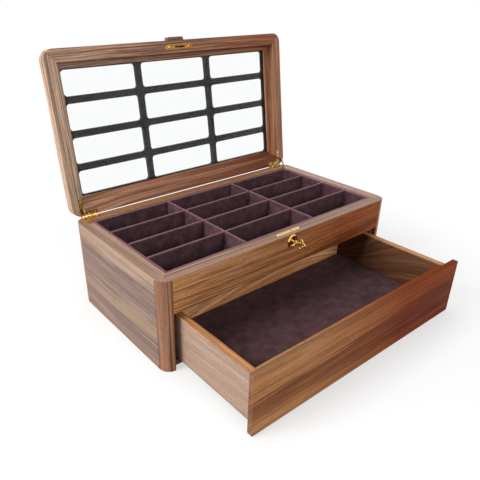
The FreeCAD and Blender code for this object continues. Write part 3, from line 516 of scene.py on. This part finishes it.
SIDE = shades((78, 58, 49), (100, 78, 67), (121, 97, 84), (138, 112, 97), (157, 131, 114))
RIM = shades((74, 50, 38), (104, 76, 62), (129, 99, 84), (151, 120, 104), (178, 146, 128))
# A paler, pinker copy of the rim's shades: painted glare on the right rim's top
RIM_RIGHT_GLARE = shades((110, 78, 68), (142, 108, 98), (168, 134, 124), (186, 152, 142),
                   (206, 174, 164))
RIM_BACK = shades((84, 48, 30), (122, 78, 50), (152, 104, 72), (172, 122, 86), (192, 144, 108))
POST = shades((70, 40, 26), (110, 72, 50), (146, 102, 75), (172, 122, 86), (194, 144, 104))
FRONT = shades((112, 68, 40), (152, 101, 63), (182, 128, 84), (200, 144, 97), (212, 160, 112))
SLAB = shades((82, 44, 24), (112, 66, 38), (139, 88, 55), (162, 108, 68), (186, 134, 90))
LID_SIDE = shades((104, 76, 58), (144, 114, 92), (176, 144, 120), (194, 162, 136),
                  (210, 180, 154))
LID_TOP = shades((84, 54, 42), (121, 87, 71), (154, 118, 98), (177, 137, 108), (199, 158, 125))
LID_LOW = shades((100, 62, 44), (154, 110, 84), (201, 156, 127), (218, 176, 146),
                 (231, 197, 170))
BOARD = shades((112, 89, 76), (136, 110, 94), (155, 130, 113), (169, 143, 125), (182, 158, 138))
# Dark walnut: painted shade on the guides and base panel, partly on the drawer's right side
INNER = shades((50, 30, 20), (74, 46, 31), (98, 63, 43), (120, 82, 56), (146, 104, 74))
# Pale tones for the drawer's back, partly painted light that makes up for the shade under the front rail
BACK = shades((140, 88, 52), (196, 138, 88), (230, 176, 124), (238, 190, 140), (244, 204, 156))
LIPPING = shades((120, 78, 44), (154, 104, 62), (178, 124, 76), (194, 140, 90), (206, 154, 104))

# The bands that show on the walls, the rail and the drawer's slab
WALL_BANDS = (
    (0.165, 0.022, 0.0, 0.08, (160, 134, 110)), (0.118, 0.030, 0.02, -0.015, (106, 84, 77)),
    (0.064, 0.013, -0.045, 0.04, (148, 120, 88)), (0.036, 0.014, 0.03, -0.01, (108, 86, 78)),
    (0.000, 0.012, 0.0, 0.01, (138, 98, 68)))
RAIL_BANDS = (
    (0.131, 0.011, 0.083, 0.04, (204, 148, 92)), (0.161, 0.011, -0.03, 0.02, (186, 132, 86)),
    (0.116, 0.008, 0.05, -0.02, (126, 80, 54)))
SLAB_BANDS = (
    (0.100, 0.028, 0.01, 0.06, (184, 134, 88)), (0.0063, 0.024, -0.063, 0.07, (186, 132, 84)),
    (0.052, 0.022, 0.05, -0.008, (122, 74, 46)))

# The slab's upper edge and its left end, greyed as painted glare where the light catches them
SLAB_GLARE_FACES = (
    (2, 0.1100, 0.1104, (98, 78, 63)), (0, -0.2574, -0.2578, (92, 71, 60)))

give(wood("side_wood", "y", SIDE, 4.1, streaky=FINE, contrast=1.2, lines=0.3,
          bands=WALL_BANDS, stretch=1.5), "panel_left", "panel_right")
give(wood("back_wood", "x", SIDE, 1.3, streaky=FINE, contrast=1.2, lines=0.3,
          bands=WALL_BANDS, stretch=1.5), "panel_back")
give(wood("post_wood", "z", POST, 7.7, wander=0.0, wide=90.0, stretch=6.0, lines=0.9,
          hue=((178, 118, 76), 0.6)),
     "post_front_left", "post_front_right", "post_back_left", "post_back_right")
# The rail and the slab darken towards +x: painted shade, partly their own tone
give(wood("front_wood", "x", FRONT, 2.6, streaky=FINE, gloss=0.06, bands=RAIL_BANDS,
          contrast=1.3, stretch=1.8, shade_and_tone_drift=(-0.09, 0.14, (206, 158, 134))), "rail_front")
# The slab's top edge and left end are greyed as painted glare
give(wood("slab_wood", "x", SLAB, 9.4, wide=24.0, streaky=FINE, gloss=0.04, stretch=1.8,
          bands=SLAB_BANDS, shade_and_tone_drift=(-0.15, 0.1, (204, 138, 104)), faces=SLAB_GLARE_FACES),
     "drawer_front", "drawer_inner_front")
give(wood("rim_wood_x", "x", RIM, 5.9, wide=110.0, stretch=3.0, gloss=0.4,
          hue=((140, 104, 82), 0.6)), "rim_front")
give(wood("rim_back_wood", "x", RIM_BACK, 5.3, wide=110.0, stretch=3.0,
          hue=((160, 104, 66), 0.6)), "rim_back")
give(wood("rim_wood_y", "y", RIM, 6.7, wide=110.0, stretch=3.0, lines=0.9, gloss=0.5,
          hue=((150, 118, 90), 0.6)), "rim_left")
# The right rim's paler wood paints the glare on its top
give(wood("rim_right_glare_wood", "y", RIM_RIGHT_GLARE, 6.7, wide=110.0, stretch=3.0, gloss=0.5,
          hue=((172, 134, 118), 0.6)), "rim_right")
# The lid's rails darken towards +x: painted shade, partly their own tone
give(wood("lid_top_wood", "x", LID_TOP, 2.9, turn=LID_OPENING, streaky=FINE, contrast=1.6,
          stretch=1.6, shade_and_tone_drift=(-0.2, 0.2, (232, 184, 144))), "lid_rail_front", "lid_tab")
give(wood("lid_low_wood", "x", LID_LOW, 6.2, turn=LID_OPENING, wander=0.05, wide=70.0,
          contrast=1.8, stretch=1.6, streaky=BROAD, hue=((172, 112, 72), 0.6),
          shade_and_tone_drift=(-0.2, 0.2, (172, 130, 108))), "lid_rail_back")
give(wood("lid_side_wood", "y", LID_SIDE, 5.2, turn=LID_OPENING, streaky=FINE, contrast=1.5,
          stretch=2.0, lines=0.8, shade_and_tone_drift=(0.2, 0.24, (238, 200, 176))),
     "lid_rail_left", "lid_rail_right")
give(wood("drawer_side_wood", "y", BOARD, 6.1, wide=50.0, streaky=FINE, contrast=0.9,
          stretch=1.5, lines=0.3, hue=((164, 130, 108), 0.5)), "drawer_side_left")
# The drawer's right side: figured walnut darkened partly as painted shade near the case
give(wood("drawer_figured_wood", "y", INNER, 3.7, wide=20.0, wander=0.06, arch=(-0.3, 1.2),
          streaky=FIGURED, contrast=1.1, hue=((112, 70, 42), 0.5)), "drawer_side_right")
# The drawer's back is paler, partly as painted light under the front rail
give(wood("drawer_back_wood", "x", BACK, 3.3, arch=(0.06, 0.5), contrast=1.7, wide=60.0,
          hue=((206, 140, 86), 0.5)), "drawer_back")
give(wood("lipping_wood", "y", LIPPING, 8.3, wide=80.0, stretch=2.0),
     "drawer_lipping_left", "drawer_lipping_right")
# The guides and the base panel are dark as painted shade in the drawer's opening
give(wood("painted_shade_guide_wood", "y", INNER, 1.9), "guide_strips", "base_panel")
give(wood("panel_wood", "x", SIDE, 8.8, hue=((142, 112, 86), 0.6)),
     "deck_panel", "drawer_bottom")

# The metal, the lattice and the glass

polished = brass("brass", (250, 216, 146), (230, 186, 108))
give(polished, "lock_plate", "lock_case", "lock_bolt", "escutcheon", "key")
give(brass("worn_brass", (210, 174, 108), (112, 78, 40), roughness=0.2, clouds=280.0),
     "case_leaf_left", "case_leaf_right", "lid_leaf_left", "lid_leaf_right", "hinge_pins",
     "stay_left", "stay_right")
give(brass("dull_brass", (170, 128, 68), (120, 82, 42), roughness=0.26, clouds=240.0),
     "strike_plate")
give(black_gloss("black_gloss"), "lid_lattice")
give(glass("glass"), "lid_glass")

# How wide the edges are eased
EASED = {
    0.2 * MM: ("lock_plate", "strike_plate", "case_leaf_left", "case_leaf_right",
               "lid_leaf_left", "lid_leaf_right", "stay_left", "stay_right"),
    0.3 * MM: ("lid_lattice", "rim_front", "rim_back", "rim_left", "rim_right",
               "post_front_left", "post_front_right", "post_back_left", "post_back_right",
               "panel_left", "panel_right", "panel_back"),
    0.4 * MM: ("drawer_side_left", "drawer_side_right", "drawer_lipping_left",
               "drawer_lipping_right", "drawer_inner_front", "drawer_back", "rail_front"),
    0.6 * MM: ("drawer_front", "lid_rail_front", "lid_rail_back", "lid_rail_left",
               "lid_rail_right"),
    0.8 * MM: ("lid_tab",),
}
for width, pieces in EASED.items():
    for node in pieces:
        eased(node, width)

# The velvet insert and the drawer's lining

# The insert's upper edges are paler as a painted highlight where the tops catch the light
INSERT_TOP_HIGHLIGHT = (0.1722, 0.1738, srgb(109, 79, 85))
insert_velvet = velvet("velvet", srgb(62, 43, 47), srgb(102, 74, 80), lit_tops=INSERT_TOP_HIGHLIGHT)

# The insert's boards as (radius of their upper edges, direction, nodes)
INSERT_BOARDS = (
    (1.6 * MM, "x", ("lining_front", "lining_back")),
    (1.6 * MM, "y", ("lining_left", "lining_right")),
    (2.2 * MM, "x", ("divider_long_front", "divider_long_middle", "divider_long_back")),
    (2.2 * MM, "y", ("divider_cross_left", "divider_cross_right")),
    (0.4 * MM, "x", ("insert_floor",)))
for round_top, along, boards in INSERT_BOARDS:
    for node in boards:
        soft_board(node, along, round_top, insert_velvet, "velvet")
suede = velvet("suede", srgb(66, 47, 50), srgb(98, 70, 73), patches=50.0, sheen=0.15)
pad = soft_board("drawer_pad", "x", 1.2 * MM, suede, "suede", step=6 * MM)

# The felt runners under the drawer's sides

RUNNER_WIDE = 10.5 * MM
RUNNER_ROUND = 0.5 * MM
RUNNER_CUTS = 60
RUNNER_WORN = 0.15 * MM
RUNNER_WORN_SCALE = 300
TOP_LAYER = 0.1 * MM
SHARP_ANGLE = 1.0


def make_runners():
    low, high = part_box("runner_strips")
    cloth = felt("felt")
    mesh_data = bmesh.new()
    for side in (-1, 1):
        left, right = sorted((high.x * side, (high.x - RUNNER_WIDE) * side))
        corners = bmesh.ops.create_cube(mesh_data)["verts"]
        for corner in corners:
            corner.co = Vector(((left, right)[corner.co.x > 0], (low.y, high.y)[corner.co.y > 0],
                                (low.z, high.z)[corner.co.z > 0]))
    long_edges = [edge for edge in mesh_data.edges if edge.calc_length() > 2 * RUNNER_WIDE]
    bmesh.ops.subdivide_edges(mesh_data, edges=long_edges, cuts=RUNNER_CUTS, use_grid_fill=True)
    sharp_edges = [edge for edge in mesh_data.edges if edge.calc_face_angle(0.0) > SHARP_ANGLE]
    bmesh.ops.bevel(mesh_data, geom=sharp_edges, offset=RUNNER_ROUND, segments=2,
                    affect="EDGES")
    for vertex in mesh_data.verts:
        if vertex.co.z > high.z - TOP_LAYER:
            uneven = noise.noise(vertex.co * RUNNER_WORN_SCALE)
            vertex.co.z -= (0.5 + 0.5 * uneven) * RUNNER_WORN
    mesh = new_mesh("felt_runners", mesh_data)
    smooth(mesh)
    new_piece("felt_runners", mesh, cloth, "case", ["runner_strips"])


make_runners()

# The countersunk screws

HEAD_HALF = 1.75 * MM
NECK_HALF = 1.0 * MM
HEAD_DEEP = 0.75 * MM
SHANK_DEEP = 1.4 * MM
SLOT_HALF = 0.24 * MM
SLOT_DEEP = 0.35 * MM
SLOT_FLOOR_HALF = HEAD_HALF - (HEAD_HALF - NECK_HALF) * SLOT_DEEP / HEAD_DEEP
SCREW_SIDES = 24

# The outlines of the head beside its slot and of the rest below it, as (radius, height)
HEAD_OUTLINE = ((HEAD_HALF - 0.12 * MM, 0.0), (HEAD_HALF, -0.08 * MM),
                (SLOT_FLOOR_HALF, -SLOT_DEEP))
SHANK_OUTLINE = ((SLOT_FLOOR_HALF, -SLOT_DEEP + 0.01 * MM), (NECK_HALF, -HEAD_DEEP),
                 (NECK_HALF, -SHANK_DEEP))


def shank(mesh_data):
    """A screw below its slot."""
    turns = [math.tau * index / SCREW_SIDES for index in range(SCREW_SIDES)]
    rings = []
    for radius, height in SHANK_OUTLINE:
        rings.append([mesh_data.verts.new((radius * math.cos(turn), radius * math.sin(turn),
                                           height)) for turn in turns])
    skin(mesh_data, rings)


def half_head(mesh_data, side):
    """One half of a screw's head, beside its slot."""
    sides = SCREW_SIDES // 2
    rings = []
    for radius, height in HEAD_OUTLINE:
        start = math.asin(SLOT_HALF / radius)
        turns = [start + (math.pi - 2 * start) * index / sides for index in range(sides + 1)]
        rings.append([mesh_data.verts.new((radius * math.cos(turn) * side,
                                           radius * math.sin(turn) * side, height))
                      for turn in turns])
    skin(mesh_data, rings)


def screw(name, place, angle, body, space=Matrix()):
    """A slotted brass screw whose head is level with a place in a space and faces its z axis."""
    mesh_data = bmesh.new()
    shank(mesh_data)
    half_head(mesh_data, 1)
    half_head(mesh_data, -1)
    stand = space @ Matrix.Translation(place) @ Matrix.Rotation(angle, 4, "Z")
    bmesh.ops.transform(mesh_data, verts=mesh_data.verts, matrix=stand)
    new_piece(name, new_mesh(name, mesh_data), polished, body)


# Where the screws' heads are, in mm, as (x, y) on the right of the box. The strike plate's y is
# from the hinge.
LEAF_SCREWS = ((261.5, 120.5), (236.0, 145.25), (249.0, 145.25))
PLATE_SCREW = (26.0, -138.2)
STRIKE_SCREW = (23.5, -289.0)

# The height of the case's plates, and of the lid's above the hinge when it is shut
RIM_TOP = 175 * MM
LEAF_FACE = 0.2 * MM

# The lid's screws face down when it is shut
FLIP = Matrix.Rotation(math.pi, 4, "X")
LID_SPACE = Matrix.Translation(HINGE) @ Matrix.Rotation(-LID_OPENING, 4, "X")


def case_screw(name, x, y, angle):
    screw(name, Vector((x, y, RIM_TOP)), angle, "case")


def lid_screw(name, x, y, angle):
    screw(name, FLIP @ Vector((x, y, LEAF_FACE)), angle, "lid", LID_SPACE @ FLIP)


# Each screw's slot lies at an angle of its own
for side, side_name in ((-1, "left"), (1, "right")):
    for number, (across, along) in enumerate(LEAF_SCREWS, 1):
        x = side * across * MM
        y = along * MM
        case_screw(f"case_screw_{side_name}_{number}", x, y, 0.7 * number + side)
        lid_screw(f"lid_screw_{side_name}_{number}", x, y - HINGE.y, 0.9 * number - side)
    case_screw(f"plate_screw_{side_name}", side * PLATE_SCREW[0] * MM, PLATE_SCREW[1] * MM,
               0.4 * side)
    lid_screw(f"strike_screw_{side_name}", side * STRIKE_SCREW[0] * MM, STRIKE_SCREW[1] * MM,
              0.5 * side)


# The floor, the light and the camera

def seen_directly(graph):
    """1 for rays that show the background: from the camera, a mirror or through glass."""
    path = graph.put("ShaderNodeLightPath")
    either = graph.calculate("MAXIMUM", path.outputs["Is Camera Ray"],
                             path.outputs["Is Glossy Ray"])
    either = graph.calculate("MAXIMUM", either, path.outputs["Is Transmission Ray"])
    unscattered = graph.calculate("LESS_THAN", path.outputs["Diffuse Depth"], 0.5)
    return graph.calculate("MULTIPLY", either, unscattered)


FLOOR_SIZE = 24
FLOOR_GREY = (0.8, 0.8, 0.8, 1.0)

# How much of the floor shows as plain white near the box and beyond, and the distances from the
# middle between which it changes
WHITE_NEAR = 0.6
WHITE_BEYOND = 1.0
WHITE_START = 0.4
WHITE_STOP = 0.65

# How bright the room is as light, and where it is seen
ROOM_LIGHT = 0.12
ROOM_SEEN = 1.0


def make_floor():
    bpy.ops.mesh.primitive_plane_add(size=FLOOR_SIZE)
    floor = bpy.context.object
    floor.name = "floor"
    material, graph = new_material("floor")
    graph.set_surface(base_color=FLOOR_GREY, roughness=0.9)
    distance = graph.put("ShaderNodeVectorMath", (graph.place(),), operation="LENGTH")
    share = graph.between(distance.outputs["Value"], WHITE_NEAR, WHITE_BEYOND, WHITE_START,
                          WHITE_STOP)
    share = graph.calculate("MULTIPLY", share, seen_directly(graph))
    graph.show_mix(share, graph.surface, graph.put("ShaderNodeEmission", (WHITE, 1.0)))
    floor.data.materials.append(material)


def make_world():
    world = bpy.data.worlds.new("studio")
    world.use_nodes = True
    scene.world = world
    graph = Graph(world.node_tree)
    background = graph.tree.nodes["Background"]
    background.inputs["Color"].default_value = WHITE
    strength = graph.between(seen_directly(graph), ROOM_LIGHT, ROOM_SEEN)
    graph.feed(background.inputs["Strength"], strength)


# The soft lamps as (name, place, target, width and height, watts)
LAMPS = (
    ("key", (-1.7, 0.15, 1.1), (0, -0.1, 0.15), (1.0, 1.2), 46),
    ("fill", (0.4, -2.5, 1.5), (0, 0, 0.15), (1.6, 1.2), 39),
    ("top", (0.0, 0.5, 2.4), (0, 0, 0.1), (1.6, 1.2), 26))


def make_lamp(name, place, target, size, power):
    lamp = bpy.data.lights.new(name, "AREA")
    lamp.shape = "RECTANGLE"
    lamp.size, lamp.size_y = size
    lamp.energy = power
    item = bpy.data.objects.new(name, lamp)
    scene.collection.objects.link(item)
    item.location = place
    item.rotation_euler = (Vector(target) - Vector(place)).to_track_quat("-Z", "Y").to_euler()


CAMERA_PLACE = (-0.61741, -0.70411, 0.56427)
CAMERA_PITCH = math.radians(27.71)
CAMERA_YAW = math.radians(38.47)
PICTURE_SIZE = 480
FOCAL_PIXELS = 505.92
CENTRE_PIXEL = (215.32, 253.67)


def make_camera():
    camera = bpy.data.cameras.new("camera")
    camera.sensor_width = 36
    camera.lens = camera.sensor_width * FOCAL_PIXELS / PICTURE_SIZE
    camera.shift_x = 0.5 - CENTRE_PIXEL[0] / PICTURE_SIZE
    camera.shift_y = CENTRE_PIXEL[1] / PICTURE_SIZE - 0.5
    camera.clip_start = 0.01
    item = bpy.data.objects.new("camera", camera)
    scene.collection.objects.link(item)
    item.location = CAMERA_PLACE
    item.rotation_euler = (math.pi / 2 - CAMERA_PITCH, 0, -CAMERA_YAW)
    scene.camera = item


make_floor()
make_world()
for lamp_values in LAMPS:
    make_lamp(*lamp_values)
make_camera()
scene.view_settings.view_transform = "Standard"
